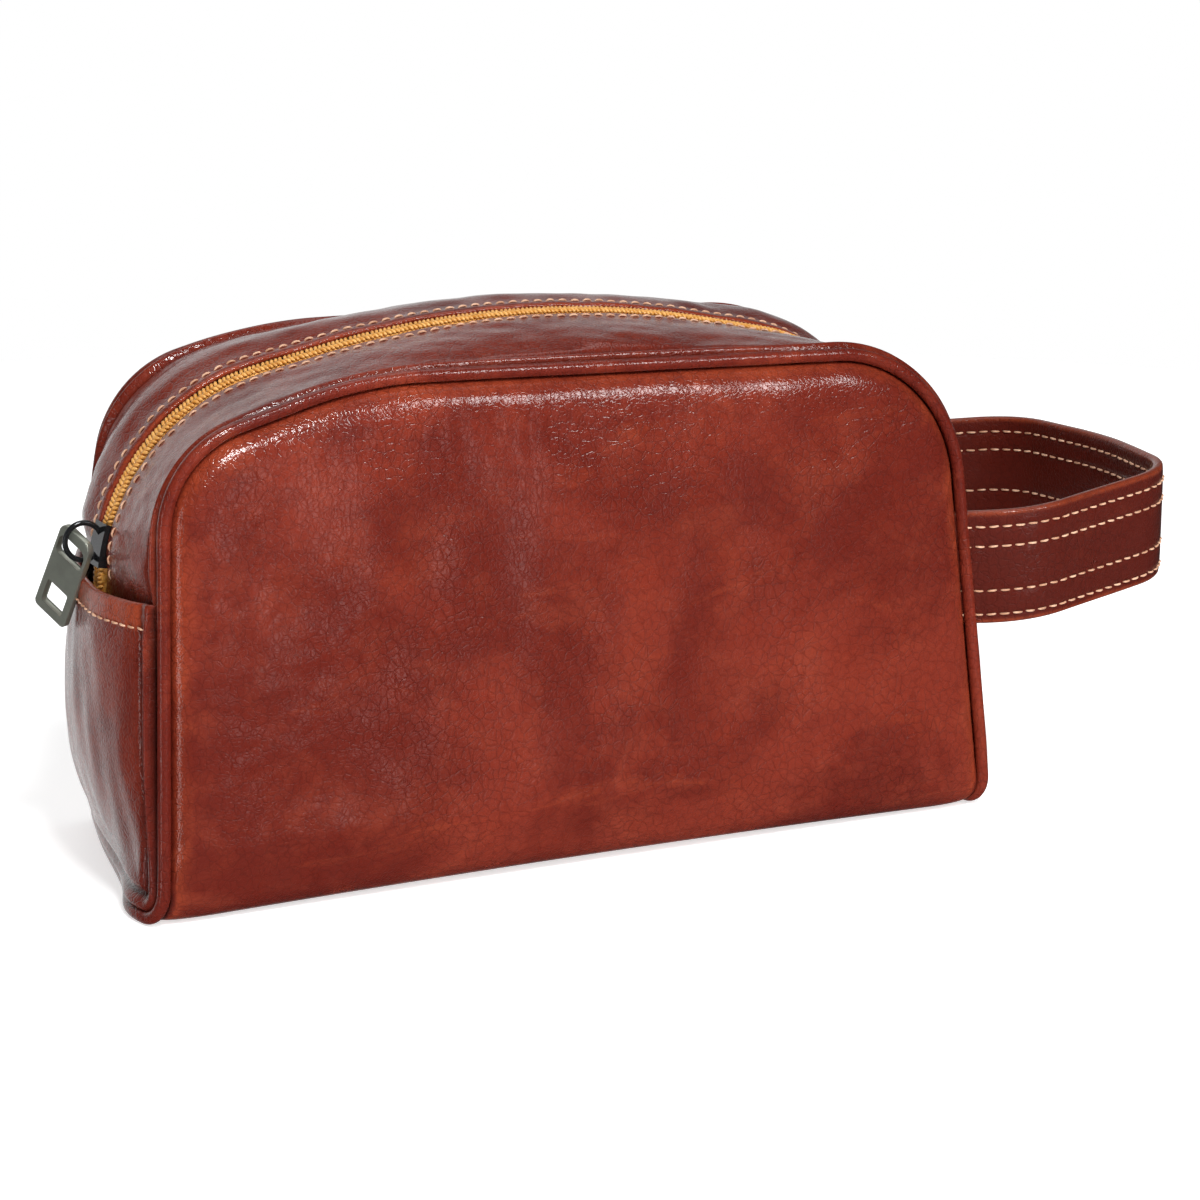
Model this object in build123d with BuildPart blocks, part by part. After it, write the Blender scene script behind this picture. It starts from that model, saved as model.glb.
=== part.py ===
from build123d import *

import os
from math import cos, degrees, radians, sin, tan

# Leather shaving kit bag: one-piece body, bulged side gussets, arched zip top and a side strap loop.
#
# Frame: origin at the centre of the base, on the surface that the bag stands on.
# +X runs along the width towards the strap loop, -Y faces the front, +Z is up.

os.makedirs("parts", exist_ok=True)

# Body panel: front, base and back in one piece of leather
HALF_WIDTH = 122.0
PANEL_TOP = 138.4
PANEL_EAVES = 129.8
PANEL_EAVES_HALF_WIDTH = 114.6
PANEL_CORNER_RADIUS = 38.0
PANEL_CROWN_RADIUS = 900.0
HALF_DEPTH = 50.6
LEAN = radians(4.47)
LEATHER = 1.8
BASE_BEND = 6.0
BASE_CORNER_RADIUS = 3.0
CLEAR = 0.1
MARGIN = 5.0
ABOVE_BAG = 160.0

# Edge piping: a leather tube over a cord
PIPING_RADIUS = 1.75
PIPING_LEATHER = 0.7
PIPING_SETBACK = 2.15
PIPING_BASE_BEND = 14.0

# Zip line, an arch in the middle of the top
ZIP_HALF_WIDTH = 124.5
ZIP_CORNER_RADIUS = 60.0
ZIP_CORNER_HEIGHT = 78.0
ZIP_ROOF_SLOPE = radians(12.0)
ZIP_CROWN_TANGENT = 60.0
ZIP_HALF_OPENING = 5.0

# Top strips, beside the zip
STRIP = 1.6
HEM_HEIGHT = 84.0
HEM_GAP = 0.5
ARCH_FOOT = 70.0

# Zip tapes and coils
TAPE = 0.6
TAPE_DROP = 3.4
TAPE_HALF_WIDTH = 8.0
COIL = 2.4
COIL_HALF_WIDTH = 2.9
COIL_HALF_GAP = 0.5
STOP_LENGTH = 2.4
STOP_DEPTH = 2.0

# Slider and its puller
SLIDER_ANGLE = radians(13.5)
SLIDER_HALF_LENGTH = 5.8
SLIDER_HALF_WIDTH = 4.2
SLIDER_PLATE = 1.2
SLIDER_GAP = 0.35
NECK_LENGTH = 2.4
NECK_WIDTH = 0.5
BAIL_RADIUS = 5.0
BAIL_WIRE_RADIUS = 0.75
BAIL_CENTRE_RISE = 3.6
BAIL_TRIM_BLOCK = 20.0
PULLER_RISE = 5.4
PULLER_LENGTH = 27.0
PULLER_HEAD = 1.4
PULLER_HALF_WIDTH = 6.25
PULLER_HEAD_HALF_WIDTH = 6.0
PULLER_THICKNESS = 2.0
PULLER_CORNER = 1.3
PULLER_SLOT_NEAR = 1.2
PULLER_SLOT_FAR = 6.4
PULLER_SLOT_WIDTH = 9.4
PULLER_WINDOW_DROP = 19.6
PULLER_WINDOW_WIDTH = 7.4
PULLER_WINDOW_HEIGHT = 6.4
PULLER_DIRECTION = (-0.154, 0.474, -0.868)
PULLER_ACROSS = (0.385, -0.779, -0.494)

# Gussets, lining and base board
GUSSET = 1.6
GUSSET_SEAM_X = 120.6
GUSSET_INSET = 4.5
GUSSET_FLOOR = 4.2
GUSSET_LINING_TOP = 80.0
GUSSET_LOW_BULGE = 2.0
GUSSET_BELLY = 10.4
GUSSET_BELLY_LOW = 30.0
GUSSET_BELLY_HIGH = 52.0
GUSSET_HEM_BULGE = 4.8
BOARD = 1.5
BOARD_SETBACK = 6.0
BOARD_CORNER_RADIUS = 8.0
LINING = 0.5
LINING_SETBACK = 4.0

# Strap loop on the +X side
STRAP_WIDTH = 33.0
STRAP_LAYER = 1.6
STRAP_LAYER_GAP = 0.02
STRAP_ROOT_X = 122.8
STRAP_ROOT_Y = 45.0
STRAP_BOW_X = 138.0
STRAP_BOW_Y = 55.0
STRAP_END_X = 203.0
STRAP_END_Y = 46.0
STRAP_MID_HEIGHT = 70.3
STRAP_RISE = radians(5.3)
STRAP_BOW_RADIUS = 28.0
STRAP_END_RADIUS = 32.0
STRAP_KNUCKLE = 17.0
STRAP_KNUCKLE_GAP = 0.35


def half_depth(height, inset=0.0):
    """Distance from the middle plane to a leaning wall, at a height."""
    return HALF_DEPTH - inset / cos(LEAN) - height * tan(LEAN)


def leaning_plane(inset):
    """The front wall's plane, moved into the bag by inset."""
    return Plane(origin=(0, -half_depth(0, inset), 0), x_dir=(1, 0, 0), z_dir=(0, -cos(LEAN), sin(LEAN)))


def arch_corners(half_width, eaves, top, foot_half_width, foot):
    """Corner points of an arch, from the left foot over the top to the right foot."""
    left = [(-foot_half_width, foot), (-half_width, eaves)]
    right = [(-x, y) for x, y in reversed(left)]
    return left + [(0, top)] + right


def panel_arch(outward, foot):
    """The body panel's outline, moved outward, as points in the leaning plane."""
    lean_scale = 1 / cos(LEAN)
    spread = (HALF_WIDTH - PANEL_EAVES_HALF_WIDTH) / PANEL_EAVES
    foot_half_width = HALF_WIDTH - spread * foot + outward
    eaves_half_width = PANEL_EAVES_HALF_WIDTH + outward
    return arch_corners(
        eaves_half_width,
        (PANEL_EAVES + outward) * lean_scale,
        (PANEL_TOP + outward) * lean_scale,
        foot_half_width,
        foot * lean_scale,
    )


def panel_radii(outward):
    """Fillet radii that go with panel_arch."""
    corner = PANEL_CORNER_RADIUS + outward
    return [corner, PANEL_CROWN_RADIUS, corner]


ZIP_EAVES = ZIP_CORNER_HEIGHT + ZIP_CORNER_RADIUS * tan((radians(90) - ZIP_ROOF_SLOPE) / 2)
ZIP_TOP = ZIP_EAVES + ZIP_HALF_WIDTH * tan(ZIP_ROOF_SLOPE)
ZIP_CROWN_RADIUS = ZIP_CROWN_TANGENT / tan(ZIP_ROOF_SLOPE)
ZIP_CORNER_X = ZIP_HALF_WIDTH - ZIP_CORNER_RADIUS


def zip_arch(depth, foot):
    """The zip line's outline, moved inward by depth, as points of width and height."""
    half_width = ZIP_HALF_WIDTH - depth
    eaves = ZIP_EAVES - depth * tan((radians(90) - ZIP_ROOF_SLOPE) / 2)
    top = ZIP_TOP - depth / cos(ZIP_ROOF_SLOPE)
    return arch_corners(half_width, eaves, top, half_width, foot)


def zip_radii(depth):
    """Fillet radii that go with zip_arch."""
    corner = ZIP_CORNER_RADIUS - depth
    return [corner, ZIP_CROWN_RADIUS - depth, corner]


def zip_band(near, far, depth, thickness):
    """A band that follows the zip line, between two distances from the middle plane."""
    foot = ARCH_FOOT
    with BuildPart() as band:
        with BuildSketch(Plane.XZ.offset(near)):
            with BuildLine():
                outer = FilletPolyline(*zip_arch(depth, foot), radius=zip_radii(depth))
                inner_depth = depth + thickness
                inner = FilletPolyline(*zip_arch(inner_depth, foot), radius=zip_radii(inner_depth))
                Line(outer @ 0, inner @ 0)
                Line(outer @ 1, inner @ 1)
            make_face()
        extrude(amount=far - near)
        split(bisect_by=Plane.XY.offset(HEM_HEIGHT + HEM_GAP), keep=Keep.TOP)
    return band.part


def strip_band(near_inset, outward, depth, thickness):
    """A sloping band from the front seam up to the zip opening."""
    foot = ARCH_FOOT
    with BuildPart() as band:
        with BuildSketch(leaning_plane(near_inset)):
            with BuildLine():
                outer = FilletPolyline(*panel_arch(outward, foot), radius=panel_radii(outward))
                low = outward - thickness
                inner = FilletPolyline(*panel_arch(low, foot), radius=panel_radii(low))
                Line(outer @ 0, inner @ 0)
                Line(outer @ 1, inner @ 1)
            make_face()
        with BuildSketch(Plane.XZ.offset(ZIP_HALF_OPENING)):
            with BuildLine():
                outer = FilletPolyline(*zip_arch(depth, foot), radius=zip_radii(depth))
                low = depth + thickness
                inner = FilletPolyline(*zip_arch(low, foot), radius=zip_radii(low))
                Line(outer @ 0, inner @ 0)
                Line(outer @ 1, inner @ 1)
            make_face()
        loft(ruled=True)
        split(bisect_by=Plane.XY.offset(HEM_HEIGHT + HEM_GAP), keep=Keep.TOP)
    return band.part


def wall_wrap(inset, floor, thickness, bend, trim):
    """A sheet that runs down the front wall, under the bag and up the back wall."""
    with BuildPart() as wrap:
        with BuildSketch(Plane.YZ.offset(-HALF_WIDTH - MARGIN)) as section:
            with BuildLine():
                low = half_depth(floor, inset)
                high = half_depth(ABOVE_BAG, inset)
                Polyline((-low, floor), (low, floor), (high, ABOVE_BAG), (-high, ABOVE_BAG), close=True)
            make_face()
            fillet(section.vertices().group_by(Axis.Y)[0], radius=bend)
            offset(amount=-thickness, mode=Mode.SUBTRACT)
        extrude(amount=2 * (HALF_WIDTH + MARGIN))
        with BuildSketch(Plane.XZ.offset(HALF_DEPTH + MARGIN)):
            with BuildLine():
                corners = panel_arch(-trim, 0)
                radii = [BASE_CORNER_RADIUS] + panel_radii(-trim) + [BASE_CORNER_RADIUS]
                FilletPolyline(*corners, radius=radii, close=True)
            make_face()
        extrude(amount=-2 * (HALF_DEPTH + MARGIN), mode=Mode.INTERSECT)
    return wrap.part


def save(part, name):
    """Label a finished piece and write it to its own file."""
    part.label = name
    export_step(part, f"parts/{name}.step")


def save_pair(part, name, across, first, second):
    """Write a piece and its mirror image."""
    save(part, f"{name}_{first}")
    save(mirror(part, about=across), f"{name}_{second}")


# Body panel

with BuildPart() as body_panel:
    add(wall_wrap(0, 0, LEATHER, BASE_BEND, 0))
save(body_panel.part, "body_panel")

# Base board and lining

with BuildPart() as base_board:
    board_floor = LEATHER + CLEAR
    board_half_depth = half_depth(board_floor, LEATHER + CLEAR) - BASE_BEND
    with BuildSketch(Plane.XY.offset(board_floor)):
        RectangleRounded(2 * (HALF_WIDTH - BOARD_SETBACK), 2 * board_half_depth, BOARD_CORNER_RADIUS)
    extrude(amount=BOARD)
save(base_board.part, "base_board")

with BuildPart() as lining_body:
    lining_floor = LEATHER + BOARD + 2 * CLEAR
    add(wall_wrap(LEATHER + CLEAR, lining_floor, LINING, BASE_BEND - LEATHER, LINING_SETBACK))
save(lining_body.part, "lining_body")

# Piping: one closed loop around the edge of the body panel

piping_front = []
piping_foot = PIPING_RADIUS + CLEAR
for width, climb in panel_arch(PIPING_SETBACK, piping_foot):
    piping_front.append(leaning_plane(PIPING_SETBACK).from_local_coords(Vector(width, climb, 0)))
piping_back = [Vector(point.X, -point.Y, point.Z) for point in reversed(piping_front)]
piping_radii = [PIPING_BASE_BEND] + panel_radii(PIPING_SETBACK) + [PIPING_BASE_BEND]

with BuildPart() as piping_cover:
    with BuildLine() as piping_path:
        FilletPolyline(*piping_front, *piping_back, radius=piping_radii + piping_radii, close=True)
    piping_start = piping_path.wire()
    with BuildSketch(Plane(piping_start @ 0, z_dir=piping_start % 0)):
        Circle(PIPING_RADIUS)
        Circle(PIPING_RADIUS - PIPING_LEATHER, mode=Mode.SUBTRACT)
    sweep(path=piping_start)
save(piping_cover.part, "piping_cover")

with BuildPart() as piping_cord:
    with BuildSketch(Plane(piping_start @ 0, z_dir=piping_start % 0)):
        Circle(PIPING_RADIUS - PIPING_LEATHER - CLEAR)
    sweep(path=piping_start)
save(piping_cord.part, "piping_cord")

# Gussets and their linings

def gusset_sheet(seam_x, thickness, top):
    """An upright side sheet that bows outward, most at its belly, trimmed to the leaning walls."""
    sections = [
        (GUSSET_FLOOR, GUSSET_LOW_BULGE),
        (GUSSET_BELLY_LOW, GUSSET_BELLY),
        (GUSSET_BELLY_HIGH, GUSSET_BELLY),
        (HEM_HEIGHT, GUSSET_HEM_BULGE),
    ]
    with BuildPart() as sheet:
        for height, bulge in sections:
            with BuildSketch(Plane.XY.offset(height)):
                with BuildLine():
                    outer_x = -seam_x
                    inner_x = thickness - seam_x
                    outer = ThreePointArc((outer_x, -HALF_DEPTH), (outer_x - bulge, 0), (outer_x, HALF_DEPTH))
                    inner = ThreePointArc((inner_x, -HALF_DEPTH), (inner_x - bulge, 0), (inner_x, HALF_DEPTH))
                    Line(outer @ 0, inner @ 0)
                    Line(outer @ 1, inner @ 1)
                make_face()
        loft(ruled=True)
        with BuildSketch(Plane.YZ.offset(-seam_x - GUSSET_BELLY - MARGIN)) as outline:
            with BuildLine():
                low = half_depth(GUSSET_FLOOR, GUSSET_INSET)
                high = half_depth(top, GUSSET_INSET)
                Polyline((-low, GUSSET_FLOOR), (low, GUSSET_FLOOR), (high, top), (-high, top), close=True)
            make_face()
            fillet(outline.vertices().group_by(Axis.Y)[0], radius=PIPING_BASE_BEND)
        extrude(amount=GUSSET_BELLY + 2 * MARGIN, mode=Mode.INTERSECT)
    return sheet.part


gusset = gusset_sheet(GUSSET_SEAM_X, GUSSET, HEM_HEIGHT)
save_pair(gusset, "gusset", Plane.YZ, "left", "right")

gusset_lining_seam = GUSSET_SEAM_X - GUSSET - CLEAR
gusset_lining = gusset_sheet(gusset_lining_seam, LINING, GUSSET_LINING_TOP)
save_pair(gusset_lining, "gusset_lining", Plane.YZ, "left", "right")

# Top strips and their linings

strip = strip_band(GUSSET_INSET, PIPING_SETBACK, 0, STRIP)
save_pair(strip, "zip_strip", Plane.XZ, "front", "back")

strip_lining_drop = STRIP + CLEAR
strip_lining = strip_band(GUSSET_INSET, PIPING_SETBACK - strip_lining_drop, strip_lining_drop, LINING)
save_pair(strip_lining, "lining_top", Plane.XZ, "front", "back")

# Zip tapes, coils and stops

tape = zip_band(COIL_HALF_GAP, TAPE_HALF_WIDTH, TAPE_DROP, TAPE)
save_pair(tape, "zip_tape", Plane.XZ, "front", "back")

coil_depth = TAPE_DROP - COIL
coil = zip_band(COIL_HALF_GAP, COIL_HALF_WIDTH, coil_depth, COIL)
save_pair(coil, "zip_coil", Plane.XZ, "front", "back")

strip_foot = HEM_HEIGHT + HEM_GAP
with BuildPart() as zip_end_stop:
    stop_x = ZIP_HALF_WIDTH - TAPE_DROP + STOP_DEPTH / 2
    with BuildSketch(Plane.XY.offset(strip_foot - CLEAR)):
        with Locations((stop_x, 0)):
            Rectangle(STOP_DEPTH, 2 * COIL_HALF_WIDTH)
    extrude(amount=-STOP_LENGTH)
save(zip_end_stop.part, "zip_end_stop")

with BuildPart() as zip_top_stops:
    with BuildSketch(Plane.XY.offset(strip_foot - CLEAR)):
        with Locations((-stop_x, COIL_HALF_WIDTH / 2 + CLEAR), (-stop_x, -COIL_HALF_WIDTH / 2 - CLEAR)):
            Rectangle(STOP_DEPTH, COIL_HALF_WIDTH - CLEAR)
    extrude(amount=-STOP_LENGTH)
save(zip_top_stops.part, "zip_top_stops")

# Slider: rings about the zip corner's axis, so that it clears the coil all the way round

slider_half_turn = degrees(SLIDER_HALF_LENGTH / ZIP_CORNER_RADIUS)
slider_start = degrees(SLIDER_ANGLE) - slider_half_turn
corner_axis = Axis((-ZIP_CORNER_X, 0, ZIP_CORNER_HEIGHT), (0, 1, 0))
coil_top = ZIP_CORNER_RADIUS - coil_depth
tape_top = ZIP_CORNER_RADIUS - TAPE_DROP
plate_low = coil_top + SLIDER_GAP
plate_high = plate_low + SLIDER_PLATE
tail_high = tape_top - TAPE - SLIDER_GAP
tail_low = tail_high - SLIDER_PLATE
flange = SLIDER_HALF_WIDTH - COIL_HALF_WIDTH - SLIDER_GAP


def ring_plane(angle):
    """A plane through the zip corner's axis: its x runs across the zip, its y outward."""
    turn = radians(angle)
    return Plane(
        origin=(-ZIP_CORNER_X, 0, ZIP_CORNER_HEIGHT),
        x_dir=(0, 1, 0),
        z_dir=(sin(turn), 0, cos(turn)),
    )


def rectangle_between(left, right, low, high):
    """A rectangle from its limits, in the sketch that is open."""
    with Locations(((left + right) / 2, (low + high) / 2)):
        Rectangle(right - left, high - low)


with BuildPart() as slider_body:
    with BuildSketch(ring_plane(slider_start)):
        rectangle_between(-SLIDER_HALF_WIDTH, SLIDER_HALF_WIDTH, plate_low, plate_high)
        rectangle_between(-SLIDER_HALF_WIDTH, SLIDER_HALF_WIDTH, tail_low, tail_high)
        for side in (-1, 1):
            edges = sorted((side * SLIDER_HALF_WIDTH, side * (SLIDER_HALF_WIDTH - flange)))
            rectangle_between(edges[0], edges[1], tape_top + SLIDER_GAP, plate_high)
    revolve(axis=corner_axis, revolution_arc=2 * slider_half_turn)
    neck_turn = degrees(NECK_LENGTH / ZIP_CORNER_RADIUS)
    with BuildSketch(ring_plane(slider_start + 2 * slider_half_turn - neck_turn)):
        rectangle_between(-NECK_WIDTH / 2, NECK_WIDTH / 2, tail_low, plate_high)
    revolve(axis=corner_axis, revolution_arc=neck_turn)
save(slider_body.part, "slider_body")


def zip_radius_point(radius):
    """The point of the middle plane at a radius from the zip corner's axis, at the slider."""
    return Vector(
        -ZIP_CORNER_X - radius * cos(SLIDER_ANGLE), 0, ZIP_CORNER_HEIGHT + radius * sin(SLIDER_ANGLE)
    )


with BuildPart() as slider_bail:
    bail_centre = zip_radius_point(plate_high + BAIL_CENTRE_RISE)
    with BuildSketch(Plane(bail_centre, x_dir=(0, 1, 0), z_dir=(sin(SLIDER_ANGLE), 0, cos(SLIDER_ANGLE)))):
        with Locations((0, BAIL_RADIUS)):
            Circle(BAIL_WIRE_RADIUS)
    revolve(axis=Axis(bail_centre, (0, 1, 0)))
    foot_cut = zip_radius_point(plate_high - BAIL_TRIM_BLOCK)
    with BuildSketch(Plane(foot_cut, x_dir=(0, 1, 0), z_dir=(-cos(SLIDER_ANGLE), 0, sin(SLIDER_ANGLE)))):
        Rectangle(2 * BAIL_TRIM_BLOCK, 2 * BAIL_TRIM_BLOCK)
    extrude(amount=BAIL_TRIM_BLOCK + CLEAR / 2, mode=Mode.SUBTRACT)
save(slider_bail.part, "slider_bail")

# Puller: a tapered plate that hangs from the bail through its upper slot

puller_pivot = zip_radius_point(plate_high + PULLER_RISE)
puller_down = Vector(*PULLER_DIRECTION).normalized()
puller_across = Vector(*PULLER_ACROSS)
puller_across = (puller_across - puller_down * puller_across.dot(puller_down)).normalized()
puller_normal = puller_across.cross(puller_down * -1)

with BuildPart() as puller:
    with BuildSketch(Plane(puller_pivot, x_dir=puller_across, z_dir=puller_normal)) as puller_face:
        with BuildLine():
            Polyline(
                (-PULLER_HEAD_HALF_WIDTH, PULLER_HEAD),
                (PULLER_HEAD_HALF_WIDTH, PULLER_HEAD),
                (PULLER_HALF_WIDTH, PULLER_HEAD - PULLER_LENGTH),
                (-PULLER_HALF_WIDTH, PULLER_HEAD - PULLER_LENGTH),
                close=True,
            )
        make_face()
        fillet(puller_face.vertices(), radius=PULLER_CORNER)
        with Locations((0, -(PULLER_SLOT_NEAR + PULLER_SLOT_FAR) / 2)):
            Rectangle(PULLER_SLOT_WIDTH, PULLER_SLOT_FAR - PULLER_SLOT_NEAR, mode=Mode.SUBTRACT)
        with Locations((0, -PULLER_WINDOW_DROP)):
            Rectangle(PULLER_WINDOW_WIDTH, PULLER_WINDOW_HEIGHT, mode=Mode.SUBTRACT)
    extrude(amount=PULLER_THICKNESS / 2, both=True)
save(puller.part, "puller")

# Strap loop: two leather layers, with their sewn ends kept as separate tabs

strap_plane = Plane(
    origin=(STRAP_ROOT_X, 0, STRAP_MID_HEIGHT),
    x_dir=(cos(STRAP_RISE), 0, sin(STRAP_RISE)),
    z_dir=(-sin(STRAP_RISE), 0, cos(STRAP_RISE)),
)


def strap_corners():
    """Plan of the loop's outer face, from the front seam round to the back seam."""
    front = [
        (0, -STRAP_ROOT_Y),
        (STRAP_BOW_X - STRAP_ROOT_X, -STRAP_BOW_Y),
        (STRAP_END_X - STRAP_ROOT_X, -STRAP_END_Y),
    ]
    return front + [(x, -y) for x, y in reversed(front)]


def strap_layer(depth):
    """One layer of the loop, its outer face moved inward by depth."""
    with BuildPart() as layer:
        with BuildLine(strap_plane) as route:
            radii = [STRAP_BOW_RADIUS, STRAP_END_RADIUS, STRAP_END_RADIUS, STRAP_BOW_RADIUS]
            FilletPolyline(*strap_corners(), radius=radii)
        path = route.wire()
        across = (path % 0).cross(strap_plane.z_dir)
        middle = path @ 0 - across * (depth + STRAP_LAYER / 2)
        with BuildSketch(Plane(middle, x_dir=across, z_dir=path % 0)):
            Rectangle(STRAP_LAYER, STRAP_WIDTH)
        sweep(path=path)
    return layer.part


def knuckle(radius):
    """A cylinder about the axis that the loop tilts on."""
    return Pos(STRAP_ROOT_X, 0, STRAP_MID_HEIGHT) * Rot(90, 0, 0) * Cylinder(radius, 2 * ABOVE_BAG)


for layer_name, layer_depth in (("outer", 0.0), ("inner", STRAP_LAYER + STRAP_LAYER_GAP)):
    whole = strap_layer(layer_depth)
    save(whole - knuckle(STRAP_KNUCKLE + STRAP_KNUCKLE_GAP), f"strap_{layer_name}")
    save(whole & knuckle(STRAP_KNUCKLE), f"strap_ends_{layer_name}")
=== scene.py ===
import math

import bpy
import numpy as np
from mathutils import Matrix, Vector

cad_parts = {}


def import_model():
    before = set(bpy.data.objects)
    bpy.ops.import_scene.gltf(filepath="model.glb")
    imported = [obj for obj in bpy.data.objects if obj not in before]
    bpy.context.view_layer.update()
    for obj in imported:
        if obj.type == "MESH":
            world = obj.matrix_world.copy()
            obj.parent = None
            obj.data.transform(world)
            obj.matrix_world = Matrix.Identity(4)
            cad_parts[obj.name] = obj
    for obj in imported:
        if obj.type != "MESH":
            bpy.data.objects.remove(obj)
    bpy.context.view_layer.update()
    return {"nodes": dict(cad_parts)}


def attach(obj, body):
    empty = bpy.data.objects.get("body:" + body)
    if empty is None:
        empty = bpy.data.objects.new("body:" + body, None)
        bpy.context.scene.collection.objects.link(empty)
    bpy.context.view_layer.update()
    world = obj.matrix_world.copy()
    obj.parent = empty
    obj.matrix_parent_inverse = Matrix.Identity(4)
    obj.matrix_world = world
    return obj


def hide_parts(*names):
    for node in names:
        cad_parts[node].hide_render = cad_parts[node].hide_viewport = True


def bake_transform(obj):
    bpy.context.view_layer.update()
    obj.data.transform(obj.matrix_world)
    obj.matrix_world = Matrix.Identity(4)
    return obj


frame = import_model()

# Shapes below are worked out in millimetres in the row frame, and scaled once when a mesh is made
MM = 0.001

# Front and back walls: seam outlines as corner points (x, z) with corner radii
LEAN = math.radians(4.47)
BASE_HALF_DEPTH = 50.6
WALL_TOP = 150.0
ARCH_LOW = 30.0
BASE_LIFT = 1.35
BASE_BEND = 7.5
FRONT_SEAM = (
    [(-122.8, 0), (-116.4, 120.9), (-62.4, 135.8), (112.3, 130.7), (122.6, 0)],
    [26.7, 120, 37.5],
)
BACK_SEAM = (
    [(-105.5, 0), (-112.0, 26), (-103.0, 126.5), (-62.0, 137.0), (112.3, 130.7), (121.9, 0)],
    [40, 28, 120, 37.5],
)
SEAM_ALLOWANCE = 2.6
SEAM_TUCK = 1.2

# Zip line at the middle of the top, as in the CAD
ZIP_LINE = ([(-124.5, 0), (-124.5, 126.6), (0, 153.05), (124.5, 126.6), (124.5, 0)], [60, 282, 60])
CROWN_RISE = -1.3
ZIP_EDGE = 4.5
TAPE = 0.6
TAPE_DROP = -3.4
COIL_STEP = 0.25
COIL_PITCH = 1.3
COIL_BAR_RADIUS = 0.60

# Top strips: how their feet tuck in, where they puff, and how their zip edge rolls over
STATION_STEP = 0.85
STRIP_TUCK = 1.5
FOOT_CLOSING = 1.3
RIGHT_SHOULDER = 3.0
BACK_PUFF = 3.1
STRIP_ROLL = ((0.55, 0.12), (0.85, 0.5), (0.9, 0.95), (0.65, 1.45), (0.1, 1.7), (-3.0, 1.75))

# End panels: the folded hem, the seam and the belly at the middle plane, (x, z) corners
HEM = 82.0
HEM_END_RISE = 1.5
HEM_HALF_WIDTH = 44.0
HEM_THREAD_DROP = 5.4
HEM_ROLL = ((0.7, 0.25), (1.05, 0.8), (1.1, 1.5), (0.9, 2.1), (0.3, 2.5), (-7, 2.6))
HEM_SHADE = (0, 0, 0.1, 0.3, 0.6, 0.8)
GUSSET_INSET = 1.6
LEFT_BELLY = ([(-119.5, 0), (-131.2, 37), (-126.4, 100)], [70])
RIGHT_BELLY = ([(118.5, 0), (130.5, 37), (126.4, 100)], [70])
SAG_BUMP = 4.0
SAG_BUMP_Y = -36.0
RIGHT_SAG = 0.45
FOOT_POINTS = 200

# Thicknesses, piping and threads
CURVE_STEP = 0.5
LEATHER = 1.4
CLOTH = 0.4
WALL_CLOTH_DROP = 2.4
BOARD = 1.2
BOARD_TOP = 3.6
BEAD_RADIUS = 1.8
BEAD_OUT = 2.25
BEAD_HEIGHT = 0.35
BEAD_HEIGHT_ON_BASE = -0.4
CORD_RADIUS = 0.9
THREAD_RADIUS = 0.33
STITCH_PITCH = 3.8
STITCH_COVER = 0.74
STITCH_SINK = 0.5
STRIP_THREAD_INSET = 4.0

# Strap: plan corners with radii, front root to back root, and its section
STRAP_PLAN = (
    [
        (116.5, -42), (135.5, -54.8), (192.5, -41.5), (198.3, 4),
        (192.5, 43), (166, 60), (138, 57), (116.5, 42),
    ],
    [28, 20, 90, 28, 40, 40, 28],
)
STRAP_STEP = 0.8
STRAP_ROOT_X = 122.8
STRAP_MIDDLE = 70.3
STRAP_RISE = math.radians(5.3)
STRAP_HALF_WIDTH = 16.5
STRAP_HALF_THICKNESS = 1.75
STRAP_EDGE = 0.9
STRAP_ROWS = [STRAP_HALF_WIDTH * (1 - 2 * f) for f in (0.138, 0.312, 0.703, 0.913)]

# Puller: its bevel in millimetres, and its pivot in metres and directions, as in the CAD
PULLER_BEVEL = 0.35
PULLER_PIVOT = (-0.128628, 0, 0.093396)
PULLER_DOWN = (-0.154, 0.474, -0.868)
PULLER_ACROSS = (0.385, -0.779, -0.494)

# Camera, floor and lights, in metres and watts: name, place, width, height, power
CAMERA_LENS = 105.74
CAMERA_PLACE = (-0.41036, -0.87280, 0.29902)
CAMERA_RIGHT = (0.89490, -0.44626, 0.00292)
CAMERA_FORWARD = (0.43415, 0.86906, -0.23717)
FLOOR_RADIUS = 0.8
LIGHT_TARGET = (0.0, 0.0, 0.07)
SOFTBOXES = (
    ("left_tall", (-1.30, -0.42, 0.10), 0.20, 0.9, 2.4),
    ("front_top", (-0.15, -1.05, 1.25), 0.34, 0.28, 18),
    ("front_right", (0.75, -1.30, 0.95), 0.30, 0.5, 9),
    ("front_low", (0.42, -1.60, 0.12), 0.10, 0.6, 0.5),
    ("front_fill", (-0.35, -1.4, 0.20), 1.0, 0.7, 9),
    ("top_wide", (0.1, 0.3, 1.4), 1.2, 0.8, 5),
)


# ---------------------------------------------------------------- curves

def run_lengths(points):
    """Distance along a line of points, from its first point."""
    return np.concatenate([[0], np.cumsum(np.linalg.norm(np.diff(points, axis=0), axis=1))])


def resample(points, step):
    """The same line with points evenly spaced along it."""
    points = np.asarray(points, float)
    length = run_lengths(points)
    count = max(2, int(round(length[-1] / step)) + 1)
    at = np.linspace(0, length[-1], count)
    return np.stack([np.interp(at, length, points[:, k]) for k in range(points.shape[1])], 1)


def part(points, f):
    """Points of a plane line at fractions f of its length."""
    length = run_lengths(points)
    return np.stack([np.interp(f * length[-1], length, points[:, k]) for k in (0, 1)], -1)


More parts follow.
